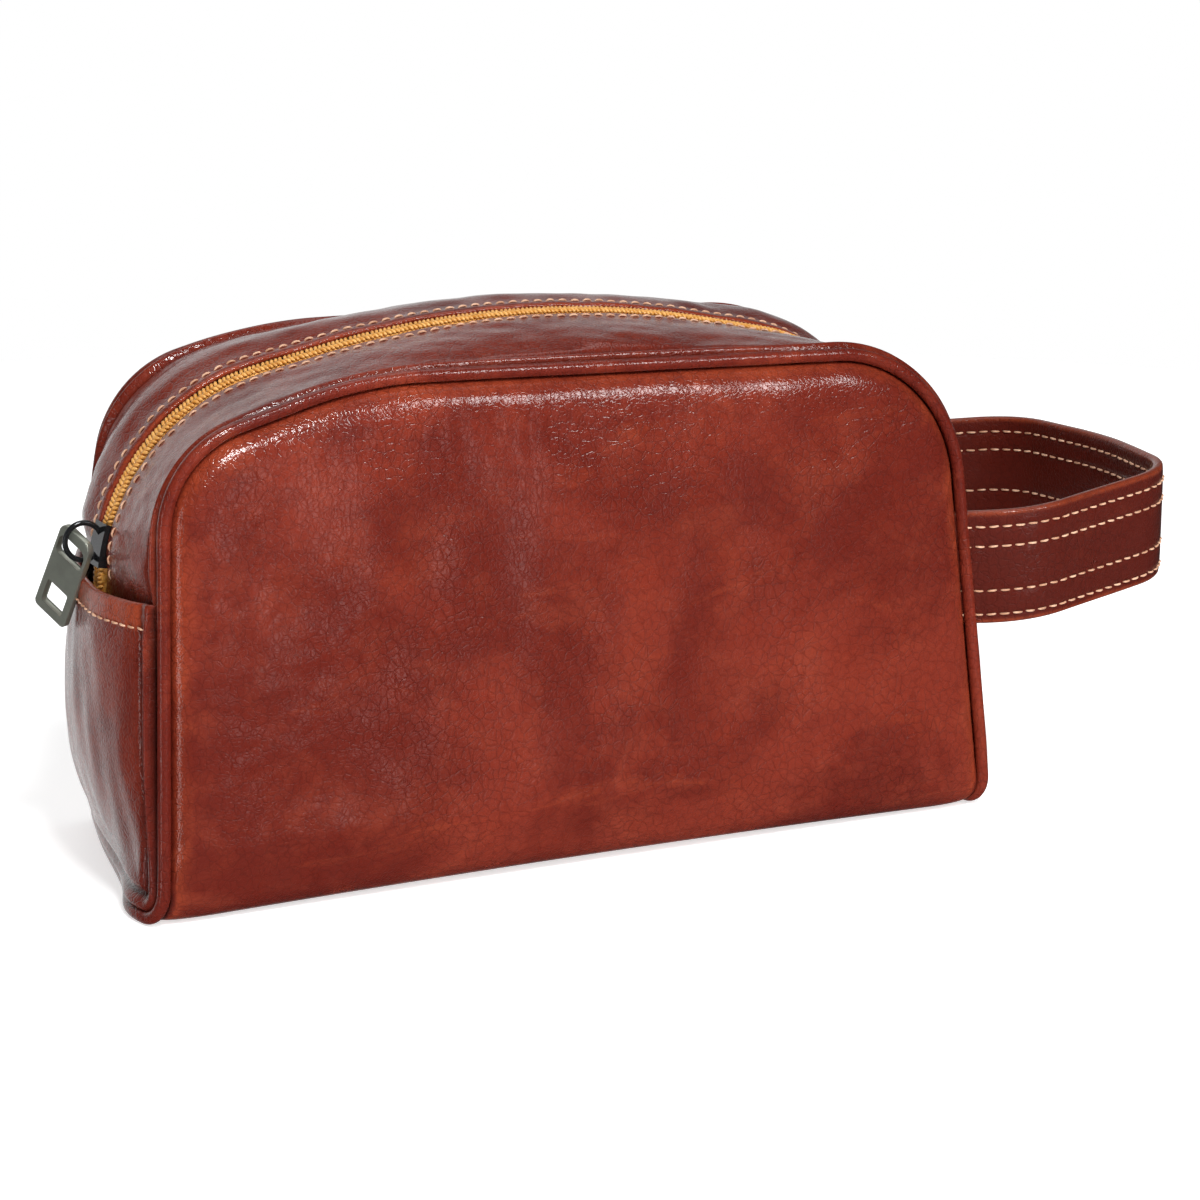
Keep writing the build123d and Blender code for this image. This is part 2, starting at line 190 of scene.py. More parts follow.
def patch(first, last, left, right, us, vs):
    """A grid stretched between four edge lines: rows go from first to last, columns from left to right."""
    u, v = us[None, :, None], vs[:, None, None]
    flat = (1 - u) * (1 - v) * left[0, 0] + u * (1 - v) * right[0, 0]
    flat = flat + (1 - u) * v * left[-1, 0] + u * v * right[-1, 0]
    return (1 - v) * first + v * last + (1 - u) * left + u * right - flat


def rounded(corners, radii, step=CURVE_STEP):
    """A line through corner points, each inner corner rounded with an arc."""
    p = [np.array(c, float) for c in corners]
    out = [p[0]]
    for before, here, after, radius in zip(p, p[1:], p[2:], radii):
        u = (before - here) / np.linalg.norm(before - here)
        v = (after - here) / np.linalg.norm(after - here)
        half = math.acos(float(np.clip(u @ v, -1, 1))) / 2
        middle = (u + v) / np.linalg.norm(u + v)
        centre = here + middle * radius / math.sin(half)
        a = here + u * radius / math.tan(half) - centre
        b = here + v * radius / math.tan(half) - centre
        turn = math.pi - 2 * half
        for f in np.linspace(0, 1, max(6, int(turn * radius / step))):
            out.append(centre + (math.sin((1 - f) * turn) * a + math.sin(f * turn) * b) / math.sin(turn))
    out.append(p[-1])
    return resample(out, step)


def left_normals(line):
    """Left-hand normals of an open plane line."""
    tangent = np.gradient(line, axis=0)
    tangent /= np.linalg.norm(tangent, axis=1)[:, None]
    return np.stack([-tangent[:, 1], tangent[:, 0]], 1)


def outward(line, distance):
    """An arch line, running left foot to right foot, moved outward."""
    return resample(line + left_normals(line) * distance, CURVE_STEP)


def smooth(x, low, high):
    t = np.clip((x - low) / (high - low), 0, 1)
    return t * t * (3 - 2 * t)


def bump(x, centre, width):
    return np.exp(-(((x - centre) / width) ** 2))


def waves(a, b, size, seed, count=14):
    """A smooth wandering field, about -1 to 1, with features of the given size."""
    rng = np.random.default_rng(seed)
    out = np.zeros(np.broadcast(a, b).shape)
    for _ in range(count):
        angle = rng.uniform(0, 2 * math.pi)
        k = 2 * math.pi / (size * rng.uniform(0.7, 1.8))
        out += np.sin(k * (a * math.cos(angle) + b * math.sin(angle)) + rng.uniform(0, 2 * math.pi))
    return out / math.sqrt(count)


# ---------------------------------------------------------------- meshes

def make(name, points, faces, slot=None, body="bag"):
    mesh = bpy.data.meshes.new(name)
    mesh.from_pydata((np.asarray(points, float) * MM).tolist(), [], faces)
    mesh.polygons.foreach_set("use_smooth", [True] * len(mesh.polygons))
    mesh.update()
    piece = bpy.data.objects.new(name, mesh)
    bpy.context.scene.collection.objects.link(piece)
    if body:
        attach(piece, body)
    return piece


def grid_faces(rows, cols, flip=False, wrap_rows=False, wrap_cols=False, start=0):
    faces = []
    for i in range(rows if wrap_rows else rows - 1):
        for j in range(cols if wrap_cols else cols - 1):
            i2 = (i + 1) % rows
            j2 = (j + 1) % cols
            this_row, next_row = start + i * cols, start + i2 * cols
            quad = (this_row + j, this_row + j2, next_row + j2, next_row + j)
            faces.append(quad[::-1] if flip else quad)
    return faces


def grid(name, points, flip=False, wrap_rows=False, wrap_cols=False, **more):
    rows, cols = points.shape[:2]
    faces = grid_faces(rows, cols, flip, wrap_rows, wrap_cols)
    return make(name, points.reshape(-1, 3), faces, **more)


def surface_normals(points):
    a = np.gradient(points, axis=0)
    b = np.gradient(points, axis=1)
    n = np.cross(a, b)
    return n / np.maximum(np.linalg.norm(n, axis=2), 1e-9)[:, :, None]


def attribute(piece, name, values):
    layer = piece.data.attributes.new(name, "FLOAT", "POINT")
    layer.data.foreach_set("value", np.asarray(values, np.float32).ravel())


def thicken(piece, amount):
    mod = piece.modifiers.new("thickness", "SOLIDIFY")
    mod.thickness = amount * MM
    mod.offset = -1
    mod.use_quality_normals = True


def paint(piece, material):
    piece.data.materials.clear()
    piece.data.materials.append(material)
    return piece


# ---------------------------------------------------------------- the bag's surfaces

FRONT = rounded(*FRONT_SEAM)
BACK = rounded(*BACK_SEAM)
FRONT_OUT = outward(FRONT, SEAM_ALLOWANCE)
BACK_OUT = outward(BACK, SEAM_ALLOWANCE)
ZIP = rounded(*ZIP_LINE)
CROWN = outward(ZIP, CROWN_RISE)


def wall_depth(z):
    return BASE_HALF_DEPTH - z * math.tan(LEAN)


def landmarks(line):
    """Places along an arch that match between arches: feet, hems, corners and crown."""
    half = len(line) // 2
    hem_left = int(np.argmin(np.abs(line[:half, 1] - HEM)))
    hem_right = half + int(np.argmin(np.abs(line[half:, 1] - HEM)))
    corner_left = int(np.argmax(line[:, 1] - line[:, 0]))
    corner_right = int(np.argmax(line[:, 1] + line[:, 0]))
    crown = int(np.argmin(np.abs(line[:, 0]) + 100 * (line[:, 1] < 100)))
    return np.array([0, hem_left, corner_left, crown, corner_right, hem_right, len(line) - 1])


STATIONS = np.array([0, 0.18, 0.31, 0.5, 0.69, 0.82, 1.0])


def along(line, s):
    """Points of an arch line at stations s, from 0 at the left foot to 1 at the right foot."""
    marks = landmarks(line)
    fine = np.linspace(-0.1, 1.1, 2401)
    index = np.interp(fine, STATIONS, marks)
    index = index + np.where(fine < 0, fine, 0) * (marks[1] / STATIONS[1])
    index = index + np.where(fine > 1, fine - 1, 0) * ((marks[-1] - marks[-2]) / (1 - STATIONS[-2]))
    kernel = np.exp(-np.linspace(-2.5, 2.5, 101) ** 2)
    kernel /= kernel.sum()
    index = np.convolve(index, kernel, mode="same")
    where = np.clip(np.interp(s, fine, index), 0, len(line) - 1)
    n = np.arange(len(line))
    return np.stack([np.interp(where, n, line[:, 0]), np.interp(where, n, line[:, 1])], -1)


def cross_shape(t):
    """How far the wall band stands out of the chord between its two seams, t from -1 to 1."""
    return np.maximum(1 - np.abs(t) ** 2.2, 0) ** 0.75


def band(s, t):
    """The top band's skin at stations s and across t, before its seams and valley."""
    front = along(FRONT_OUT, s)
    back = along(BACK_OUT, s)
    crown = along(CROWN, s)
    front3 = np.stack([front[..., 0], SEAM_TUCK - wall_depth(front[..., 1]), front[..., 1]], -1)
    back3 = np.stack([back[..., 0], wall_depth(back[..., 1]) - SEAM_TUCK, back[..., 1]], -1)
    crown3 = np.stack([crown[..., 0], 0 * crown[..., 0], crown[..., 1]], -1)
    f = ((t + 1) / 2)[..., None]
    chord = front3 * (1 - f) + back3 * f
    middle = (front3 + back3) / 2
    lift = crown3 - middle
    return chord + lift * cross_shape(t)[..., None]


def end_wall(side, y, z):
    """x of an end panel's skin at (y, z). side is -1 for the left end and 1 for the right."""
    front, back = (FRONT_OUT, BACK_OUT) if side < 0 else (FRONT_OUT[::-1], BACK_OUT[::-1])
    belly = rounded(*(LEFT_BELLY if side < 0 else RIGHT_BELLY))
    fx = np.interp(z, front[:FOOT_POINTS, 1], front[:FOOT_POINTS, 0])
    bx = np.interp(z, back[:FOOT_POINTS, 1], back[:FOOT_POINTS, 0])
    mx = np.interp(z, belly[:, 1], belly[:, 0])
    t = np.clip(y / wall_depth(z), -1, 1)
    chord = fx + (bx - fx) * (t + 1) / 2
    x = chord + (mx - (fx + bx) / 2) * cross_shape(t)
    sag = SAG_BUMP * bump(y, SAG_BUMP_Y, 14) * bump(z, 0, 13) * (1 - np.abs(t) ** 8)
    return x + side * sag * (1 if side < 0 else RIGHT_SAG)


TOP_HALF_DEPTH = wall_depth(WALL_TOP)
PROFILE = rounded(
    [
        (-TOP_HALF_DEPTH, WALL_TOP),
        (-BASE_HALF_DEPTH, BASE_LIFT),
        (BASE_HALF_DEPTH, BASE_LIFT),
        (TOP_HALF_DEPTH, WALL_TOP),
    ],
    [BASE_BEND, BASE_BEND],
)
PROFILE_STEP = np.linalg.norm(PROFILE[1] - PROFILE[0])
PROFILE_LENGTH = PROFILE_STEP * (len(PROFILE) - 1)
PROFILE_NORMAL = left_normals(PROFILE) * -1


def on_profile(w):
    """Place and outward direction (y, z) on the wrap-round wall, w millimetres from its front top edge."""
    at = np.arange(len(PROFILE)) * PROFILE_STEP
    place = np.stack([np.interp(w, at, PROFILE[:, k]) for k in (0, 1)], -1)
    normal = np.stack([np.interp(w, at, PROFILE_NORMAL[:, k]) for k in (0, 1)], -1)
    return place, normal / np.linalg.norm(normal, axis=-1)[..., None]


def wall_point(x, w, height):
    """A point of the front, base or back wall, at height above its skin."""
    place, normal = on_profile(w)
    return np.stack([x, place[..., 0] + height * normal[..., 0], place[..., 1] + height * normal[..., 1]], -1)


def w_front(z):
    return (WALL_TOP - z) / math.cos(LEAN)


def w_back(z):
    return PROFILE_LENGTH - w_front(z)


def end_edge(side, w):
    """x of the wrap-round wall's end seam at w."""
    place, _ = on_profile(w)
    return end_wall(side, place[..., 0], place[..., 1]) - side * SEAM_ALLOWANCE


def wall_outline():
    """The wall's seam, unrolled as a closed (x, w) loop: front arch, right end, back arch, left end."""
    front = FRONT[FRONT[:, 1] > ARCH_LOW]
    back = BACK[BACK[:, 1] > ARCH_LOW][::-1]
    top = np.stack([front[:, 0], w_front(front[:, 1])], 1)
    w = np.arange(w_front(ARCH_LOW), w_back(ARCH_LOW), CURVE_STEP)
    right = np.stack([end_edge(1, w), w], 1)
    rear = np.stack([back[:, 0], w_back(back[:, 1])], 1)
    left = np.stack([end_edge(-1, w), w], 1)[::-1]
    loop = np.concatenate([top, right[2:-2], rear, left[2:-2]])
    for k in (0, 1):
        padded = np.concatenate([loop[-40:, k], loop[:, k], loop[:40, k]])
        kernel = np.exp(-np.linspace(-2, 2, 13) ** 2)
        loop[:, k] = np.convolve(padded, kernel / kernel.sum(), mode="same")[40:-40]
    return loop


OUTLINE = wall_outline()


def seam_distance(x, w):
    """Distance in the unrolled wall to its seam."""
    flat = np.stack([np.ravel(x), np.ravel(w)], 1)
    out = np.empty(len(flat))
    for k in range(0, len(flat), 4000):
        part = flat[k:k + 4000]
        out[k:k + 4000] = np.sqrt(((part[:, None] - OUTLINE[None, ::2]) ** 2).sum(2).min(1))
    return out.reshape(np.shape(x))


def upright(w):
    """1 on the front and back walls, 0 on the base."""
    place, _ = on_profile(w)
    return smooth(place[..., 1], 2.0, 22.0)


def arch_patch(line, w_of, us, vs):
    """A grid over one wall's arch, in unrolled (x, w): rows from the arch down to ARCH_LOW."""
    left = int(np.argmax(line[:, 1] - line[:, 0]))
    right = int(np.argmax(line[:, 1] + line[:, 0]))
    unrolled = np.stack([line[:, 0], w_of(line[:, 1])], 1)
    above = np.flatnonzero(line[:, 1] > ARCH_LOW)
    left_line = unrolled[above[0]:left + 1][::-1]
    right_line = unrolled[right:above[-1] + 1]
    top = part(unrolled[left:right + 1], us)[None]
    bottom = part(np.stack([left_line[-1], right_line[-1]]), us)[None]
    return patch(top, bottom, part(left_line, vs)[:, None], part(right_line, vs)[:, None], us, vs)


def wall_grid():
    """The whole wrap-round wall as a grid of unrolled (x, w) points, closer together near its seam."""
    f = np.linspace(0, 1, 231)
    us = 0.5 * f + 0.5 * (0.5 - 0.5 * np.cos(math.pi * f))
    g = np.linspace(0, 1, 101)
    vs = 0.6 * g + 0.4 * (1 - np.cos(math.pi / 2 * g))
    front = arch_patch(FRONT, w_front, us, vs)
    back = arch_patch(BACK, w_back, us, vs)[::-1]
    w = np.arange(w_front(ARCH_LOW) + 1.2, w_back(ARCH_LOW) - 0.6, 1.2)
    left, right = end_edge(-1, w), end_edge(1, w)
    across = left[:, None] + (right - left)[:, None] * us[None]
    middle = np.stack([across, np.repeat(w[:, None], len(us), 1)], -1)
    return np.concatenate([front, middle, back])


def pillow(x, w, distance):
    """How far the wall's leather stands out: rolled edges, a soft belly and creases."""
    place, _ = on_profile(w)
    z = place[..., 1]
    face = upright(w)
    roll = -3.4 + 5.9 * (1 - np.exp(-distance / 2.0))
    belly = 2.6 * (1 - np.exp(-distance / 26.0))
    soft = 0.45 * waves(x, w, 62, 3) * (1 - np.exp(-distance / 14))
    soft = soft + 0.16 * waves(x, w, 17, 4) * (1 - np.exp(-distance / 8))
    front_top = bump(z, 122, 9) * bump(x, -28, 40)
    creases = 0.20 * waves(x, z * 0.25, 5.0, 7) * front_top * (1 - np.exp(-distance / 5))
    corner = 0.13 * waves(x * 0.8 + z, x - z, 8.0, 9)
    corner = corner * bump(x, -100, 26) * bump(z, 78, 42) * (1 - np.exp(-distance / 5))
    base = -1.0 + 0.9 * (1 - np.exp(-distance / 3.0))
    arch = 1.0 * (1 - (np.clip(x, -110, 110) / 110) ** 2)
    return face * (roll + belly + soft + creases + corner) + (1 - face) * (base - arch)


def body_wall():
    """The wall's leather: front, base and back in one skin."""
    points = wall_grid()
    x, w = points[..., 0], points[..., 1]
    distance = seam_distance(x, w)
    skin = wall_point(x, w, pillow(x, w, distance))
    piece = grid("body_leather_wall", skin, slot="body_leather")
    attribute(piece, "wear", np.exp(-distance / 4.0) * smooth(distance, 0.4, 2.0))
    # Painted shade: the thin dark line in the groove between the wall and the piping bead.
    attribute(piece, "painted_seam_shade", 0.95 * bump(distance, 0, 0.9))
    thicken(piece, LEATHER)
    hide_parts("body_panel")
    return piece


def body_inner():
    """The cloth inside the wall's leather, on every third point of its grid."""
    points = wall_grid()[::3, ::3]
    x, w = points[..., 0], points[..., 1]
    distance = seam_distance(x, w)
    x = x * (1 - 0.028 * np.exp(-distance / 3))
    height = pillow(x, w, distance) * (1 - np.exp(-distance / 3)) - WALL_CLOTH_DROP
    piece = grid("inner_wall_cloth", wall_point(x, w, height), slot="lining_cloth")
    thicken(piece, CLOTH)
    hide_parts("lining_body")
    return piece


def tube_on(path, normal, radius, around):
    """Rings of a tube round a closed path, with normal pointing out of the bag."""
    tangent = np.roll(path, -1, 0) - np.roll(path, 1, 0)
    tangent /= np.linalg.norm(tangent, axis=1)[:, None]
    side = np.cross(tangent, normal)
    side /= np.linalg.norm(side, axis=1)[:, None]
    up = np.cross(side, tangent)
    a = np.linspace(0, 2 * math.pi, around, endpoint=False)
    radius = np.broadcast_to(radius, (len(path),))
    turn = np.cos(a)[None, :, None] * up[:, None] + np.sin(a)[None, :, None] * side[:, None]
    return path[:, None] + radius[:, None, None] * turn


def piping_path():
    """The bead's middle line round the wall's seam, and its outward directions."""
    loop = resample(np.concatenate([OUTLINE, OUTLINE[:1]]), 1.0)[:-1]
    tangent = np.roll(loop, -1, 0) - np.roll(loop, 1, 0)
    tangent /= np.linalg.norm(tangent, axis=1)[:, None]
    away = np.stack([tangent[:, 1], -tangent[:, 0]], 1)
    loop = loop + away * BEAD_OUT
    face = upright(loop[:, 1])
    height = BEAD_HEIGHT * face + BEAD_HEIGHT_ON_BASE * (1 - face)
    path = wall_point(loop[:, 0], loop[:, 1], height)
    _, normal = on_profile(loop[:, 1])
    return path, np.stack([0 * normal[:, 0], normal[:, 0], normal[:, 1]], 1)


def piping():
    """The piping's leather bead, and the cord inside it."""
    path, normal = piping_path()
    wobble = BEAD_RADIUS * (1 + 0.025 * waves(np.arange(len(path)) * 1.0, 0 * path[:, 0], 23, 5))
    rings = tube_on(path, normal, wobble, 16)
    cover = grid("piping_bead", rings, wrap_rows=True, wrap_cols=True, slot="piping_leather")
    attribute(cover, "wear", np.full(rings.shape[:2], 0.2))
    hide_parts("piping_cover")
    rings = tube_on(path, normal, CORD_RADIUS, 8)
    core = grid("piping_core", rings, wrap_rows=True, wrap_cols=True, slot="cord")
    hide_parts("piping_cord")
    return cover, core


def seam_ridge(m, low=0.0):
    """The folded leather beside the piping, at m millimetres from it. low is 1 along the gusset's foot."""
    side = 1.75 * bump(m, 2.1, 1.25) - 0.55 * bump(m, 4.6, 1.0) - 1.1 * bump(m, -0.1, 0.8)
    foot = 1.2 * bump(m, 2.4, 1.7) - 1.3 * bump(m, 5.8, 1.1)
    foot = foot + 0.5 * bump(m, 9.0, 2.6) - 1.1 * bump(m, -0.1, 0.8)
    return side * (1 - low) + foot * low


S_LOW, S_HIGH = 0.155, 0.845


def strip_relief(end, s, m, run, skin):
    """How far a top strip stands out: seam ridge, tucked feet, soft waves and puffed shoulders."""
    y, z = np.abs(skin[..., 1]), skin[..., 2]
    e = seam_ridge(m)
    e = e - STRIP_TUCK * (1 - smooth(z, HEM + 1, HEM + 11))
    e = e + 0.35 * waves(run, m * 2.0, 55, 11 + end) * smooth(m, 4, 9) * smooth(y, 6, 12)
    e = e + 0.10 * waves(run, m * 1.5, 13, 13 + end) * smooth(m, 3, 8)
    across = smooth(y, 7, 20)
    e = e + RIGHT_SHOULDER * bump(s, 0.71, 0.07) * across * (1 - smooth(y, 34, 46))
    if end > 0:
        e = e + 0.2 * bump(s, 0.385, 0.05) * across
        e = e + BACK_PUFF * bump(y, 19, 12.5) * smooth(z, HEM, HEM + 14)
        e = e + 0.55 * bump(y, 6.0, 1.3)
    return e


def rolled(rim, inward, normal, steps):
    """Rows that turn a rim over. Each step is how far a row lies inward and below the rim."""
    return [rim + inward * a - normal * b for a, b in steps]


def strip(end, name, node):
    """One top strip. end is -1 for the front one and 1 for the back one."""
    s = np.linspace(S_LOW, S_HIGH, 520)
    f = np.concatenate([np.linspace(0, 0.22, 22, endpoint=False), np.linspace(0.22, 1, 34)])
    seam_y = wall_depth(along(FRONT_OUT, s)[:, 1]) - SEAM_TUCK
    foot = 1 - smooth(along(CROWN, s)[:, 1], HEM + 2, HEM + 9)
    edge_y = ZIP_EDGE + 0.8 - FOOT_CLOSING * foot * (s < 0.5)
    t = end * (1 - f[None, :] * (1 - edge_y[:, None] / seam_y[:, None]))
    stations = np.repeat(s[:, None], len(f), 1)
    skin = band(stations, t)
    normal = surface_normals(skin) * -end
    steps = np.linalg.norm(np.diff(skin, axis=1), axis=2)
    m = np.concatenate([np.zeros((len(s), 1)), np.cumsum(steps, axis=1)], 1)
    run = np.repeat(np.arange(len(s))[:, None] * STATION_STEP, len(f), 1)
    wear = np.exp(-m / 3.0) * 0.5 + 0.55 * bump(np.abs(skin[..., 1]), ZIP_EDGE, 1.6)
    # Painted shade in the groove at the piping and in the hollow beside the seam ridge.
    groove_shade = 0.8 * bump(m, 0, 0.8) + 0.35 * bump(m, 4.6, 0.7)
    skin = skin + normal * strip_relief(end, stations, m, run, skin)[..., None]
    inward = np.zeros_like(skin[:, -1:])
    inward[..., 1] = -end
    roll = rolled(skin[:, -1:], inward, normal[:, -1:], STRIP_ROLL)
    piece = grid(name, np.concatenate([skin] + roll, 1), flip=end > 0, slot="body_leather")
    turned = np.ones((len(s), len(roll)))
    attribute(piece, "wear", np.concatenate([wear, turned * 0.7], 1))
    attribute(piece, "painted_seam_shade", np.concatenate([groove_shade, turned * 0], 1))
    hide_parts(node)
    return piece, skin, normal


def add_tube(points, faces, tube):
    """Add one short tube, given as rings of points, with both ends closed."""
    rings, around = tube.shape[:2]
    start = len(points) * rings * around
    points.append(tube.reshape(-1, 3))
    faces += grid_faces(rings, around, wrap_cols=True, start=start)
    faces.append(tuple(range(start, start + around))[::-1])
    faces.append(tuple(range(start + (rings - 1) * around, start + rings * around)))


def stitch_row(name, path, normal, body="bag"):
    """Threads along a path, each a short arched stitch that dives into its holes."""
    length = run_lengths(path)
    count = int(length[-1] / STITCH_PITCH)
    f = np.linspace(0, 1, 7)
    a = np.linspace(0, 2 * math.pi, 6, endpoint=False)
    arch = np.sin(np.pi * f) ** 0.5
    radius = THREAD_RADIUS * (0.45 + 0.55 * np.sin(np.pi * f) ** 0.4)
    rng = np.random.default_rng(len(name) * 7 + count)
    points, faces = [], []
    for i in range(count):
        at = (i + 0.5) * length[-1] / count + (f - 0.5) * STITCH_PITCH * STITCH_COVER
        centre = np.stack([np.interp(at, length, path[:, k]) for k in range(3)], 1)
        up = np.stack([np.interp(at, length, normal[:, k]) for k in range(3)], 1)
        up /= np.linalg.norm(up, axis=1)[:, None]
        tangent = np.gradient(centre, axis=0)
        tangent /= np.linalg.norm(tangent, axis=1)[:, None]
        side = np.cross(tangent, up)
        skew = rng.uniform(-0.10, 0.16)
        height = (arch - 1) * STITCH_SINK + THREAD_RADIUS * 1.05
        centre = centre + up * height[:, None] + side * ((f - 0.5) * 2 * skew)[:, None]
        turn = np.cos(a)[None, :, None] * up[:, None] + np.sin(a)[None, :, None] * side[:, None]
        add_tube(points, faces, centre[:, None] + radius[:, None, None] * turn)
    return make(name, np.concatenate(points), faces, slot="zip_textile", body=body)


def strip_stitches(end, skin, normal, name):
    """The row beside the zip, on the strip's own skin."""
    row_y = ZIP_EDGE + STRIP_THREAD_INSET
    path, up = [], []
    for line, directions in zip(skin, normal):
        if line[-1, 2] < HEM + 1.5:
            continue
        j = int(np.argmin(np.abs(np.abs(line[:, 1]) - row_y)))
        path.append(line[j])
        up.append(directions[j])
    path = np.array(path)
    path[:, 1] = end * row_y
    return stitch_row(name, path, np.array(up))


def hem_height(y):
    """Height of an end panel's hem, a little higher at its seams."""
    return HEM + HEM_END_RISE * (y / HEM_HALF_WIDTH) ** 2


def end_panel_grid():
    """An end panel as a grid of (y, z), rows from its foot up to its hem, and its seam as a line."""
    f = np.linspace(0, 1, 130)
    us = 0.55 * f + 0.45 * (0.5 - 0.5 * np.cos(math.pi * f))
    g = np.linspace(0, 1, 120)
    vs = 0.6 * g + 0.4 * np.sin(math.pi / 2 * g)
    seam = PROFILE + PROFILE_NORMAL * -GUSSET_INSET
    half = len(seam) // 2
    corner = int(np.argmax(-seam[:half, 0] - seam[:half, 1]))
    hem = int(np.argmin(np.abs(seam[:half, 1] - (HEM + HEM_END_RISE))))
    far_corner, far_hem = len(seam) - 1 - corner, len(seam) - 1 - hem
    foot = part(seam[corner:far_corner + 1], us)[None]
    top_y = seam[hem, 0] + (seam[far_hem, 0] - seam[hem, 0]) * us
    top = np.stack([top_y, hem_height(top_y)], -1)[None]
    front = part(seam[hem:corner + 1][::-1], vs)[:, None]
    back = part(seam[far_corner:far_hem + 1], vs)[:, None]
    return patch(foot, top, front, back, us, vs), seam[hem - 4:far_hem + 4]


def hem_thread(name, yz, skin, normal):
    """The row of stitches under an end panel's hem, smoothed along its length."""
    path, up = [], []
    for j in range(6, yz.shape[1] - 6):
        target = hem_height(yz[-1, j, 0]) - HEM_THREAD_DROP
        i = int(np.argmin(np.abs(yz[:, j, 1] - target)))
        path.append(skin[i, j])
        up.append(normal[i, j])
    path = np.array(path)
    for k in (0, 2):
        path[:, k] = np.convolve(np.pad(path[:, k], 4, mode="edge"), np.ones(9) / 9, mode="valid")
    return stitch_row(name, path, np.array(up))


def gusset(side, name, node):
    """One end panel: a belly over a rounded foot, with a folded and stitched top hem."""
    yz, seam = end_panel_grid()
    y, z = yz[..., 0], yz[..., 1]
    skin = np.stack([end_wall(side, y, z), y, z], -1)
    normal = surface_normals(skin)
    normal *= np.sign((normal[..., 0] * side).mean())
    d = np.sqrt(((yz.reshape(-1, 1, 2) - seam[None]) ** 2).sum(2).min(1)).reshape(y.shape)
    m = d * 1.15
    low = 1 - smooth(z, 9, 34)
    e = seam_ridge(m, low) * (1 - 0.6 * smooth(z, HEM - 8, HEM))
    e = e + 0.40 * waves(y, z, 48, 21 + side) * smooth(d, 7, 18)
    e = e + 0.16 * waves(y * 2.2, z, 26, 23 + side) * smooth(d, 6, 14)
    skin = skin + normal * e[..., None]
    up = np.zeros_like(skin[-1:])
    up[..., 2] = 1
    fold = rolled(skin[-1:], up, normal[-1:], HEM_ROLL)
    piece = grid(name, np.concatenate([skin] + fold, 0), flip=side < 0, slot="body_leather")
    wear = np.maximum(0.8 * smooth(z, HEM - 6.5, HEM - 3.5) * smooth(d, 1, 6), 0.35 * np.exp(-d / 3))
    fold_wear = np.repeat(0.7 * smooth(d[-1:], 1, 6), len(fold), 0)
    attribute(piece, "wear", np.concatenate([wear, fold_wear], 0))
    # Painted shade in the groove at the piping, in the crease along the foot, and on the underside of the
    # hem's turned fold.
    groove_shade = 0.8 * bump(d, 0, 0.8) + low * 0.85 * bump(m, 5.6, 0.8) + (1 - low) * 0.35 * bump(m, 4.6, 0.7)
    shade = np.array(HEM_SHADE)[:, None] * np.ones((1, yz.shape[1]))
    attribute(piece, "painted_seam_shade", np.concatenate([groove_shade, shade], 0))
    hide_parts(node)
    return piece, hem_thread(name + "_hem_thread", yz, skin, normal)


def inner_gusset(side, name, node):
    """The cloth inside an end panel."""
    y = np.linspace(-44, 44, 40)[None] * np.ones((34, 1))
    z = (3 + np.linspace(0, 1, 34) * 74)[:, None] * np.ones((1, 40))
    y = y * (wall_depth(z) - 3.5) / BASE_HALF_DEPTH * 1.12
    y = np.clip(y, -(wall_depth(z) - 3.2), wall_depth(z) - 3.2)
    x = end_wall(side, y, z) - side * 4.0
    piece = grid(name, np.stack([x, y, z], -1), flip=side < 0, slot="lining_cloth")
    thicken(piece, CLOTH)
    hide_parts(node)
    return piece


def inner_top(end, name, node):
    """The cloth under a top strip."""
    s = np.linspace(S_LOW + 0.02, S_HIGH - 0.02, 160)
    f = np.linspace(0, 1, 16)
    seam_y = wall_depth(along(FRONT_OUT, s)[:, 1]) - SEAM_TUCK
    t = end * (0.93 - f[None] * (0.93 - 9.0 / seam_y[:, None]))
    skin = band(np.repeat(s[:, None], len(f), 1), t)
    normal = surface_normals(skin) * -end
    piece = grid(name, skin - normal * 4.6, flip=end > 0, slot="lining_cloth")
    thicken(piece, CLOTH)
    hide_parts(node)
    return piece


def zip_frame(step):
    """Places and outward directions along the zip line above the hems."""
    line = resample(ZIP[ZIP[:, 1] > HEM - 7], step)
    normal = left_normals(line)
    place = np.stack([line[:, 0], 0 * line[:, 0], line[:, 1]], 1)
    return place, np.stack([normal[:, 0], 0 * normal[:, 0], normal[:, 1]], 1)


def sideways(across):
    """Moves of the given sizes along Y, one for each column of a grid."""
    return np.stack([0 * across, across, 0 * across], 1)[None]


def tape(end, name, node):
    """One woven zip tape, from the coil out under its strip."""
    place, normal = zip_frame(1.0)
    across = np.array([0.25, 1.2, 2.4, 3.6, 4.8, 6.4, 8.0])
    points = place[:, None] + normal[:, None] * (TAPE_DROP + 0.1) + 0 * across[None, :, None]
    piece = grid(name, points + sideways(end * across), flip=end > 0, slot="zip_textile")
    thicken(piece, TAPE)
    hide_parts(node)
    return piece


